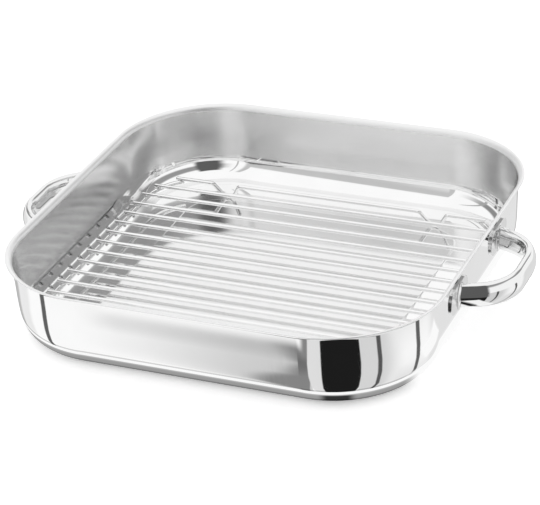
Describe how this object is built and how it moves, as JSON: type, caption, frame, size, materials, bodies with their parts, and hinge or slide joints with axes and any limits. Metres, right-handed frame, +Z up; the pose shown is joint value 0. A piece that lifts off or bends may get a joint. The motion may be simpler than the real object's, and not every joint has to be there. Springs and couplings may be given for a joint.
{
  "type": "roasting pan with rack",
  "caption": "Square stainless roasting pan with rounded corners, a flared pouring lip, two bow handles of oval tube and a loose wire rack standing in it.",
  "frame": {"origin": "middle of the underside of the pan, on the surface that it stands on", "axes": "+Z up; X runs from handle to handle, along the long wires of the rack; -Y is the side nearest the viewer"},
  "size_m": [0.4212, 0.35, 0.0654],
  "materials": {
    "pan_steel": "mirror polished outside and on the base, satin brushed on the inner walls",
    "handle_steel": "mirror polished",
    "bracket_steel": "polished",
    "rack_chrome": "bright plated"
  },
  "bodies": {
    "pan": {"pan_body": "pan_steel", "handle_left": "handle_steel", "handle_right": "handle_steel", "bracket_left_front": "bracket_steel", "bracket_left_back": "bracket_steel", "bracket_right_front": "bracket_steel", "bracket_right_back": "bracket_steel"},
    "rack": {"rack_rail_left": "rack_chrome", "rack_rail_right": "rack_chrome", "rack_foot_wire_front": "rack_chrome", "rack_foot_wire_back": "rack_chrome", "rack_wire_1": "rack_chrome", "rack_wire_2": "rack_chrome", "rack_wire_3": "rack_chrome", "rack_wire_4": "rack_chrome", "rack_wire_5": "rack_chrome", "rack_wire_6": "rack_chrome", "rack_wire_7": "rack_chrome", "rack_wire_8": "rack_chrome", "rack_wire_9": "rack_chrome", "rack_wire_10": "rack_chrome", "rack_wire_11": "rack_chrome", "rack_wire_12": "rack_chrome", "rack_wire_13": "rack_chrome"}
  },
  "joints": [
    {"name": "rack_lift", "type": "slide", "parent": "pan", "child": "rack", "axis": [0, 0, 1], "range_m": [0, 0.12]}
  ]
}
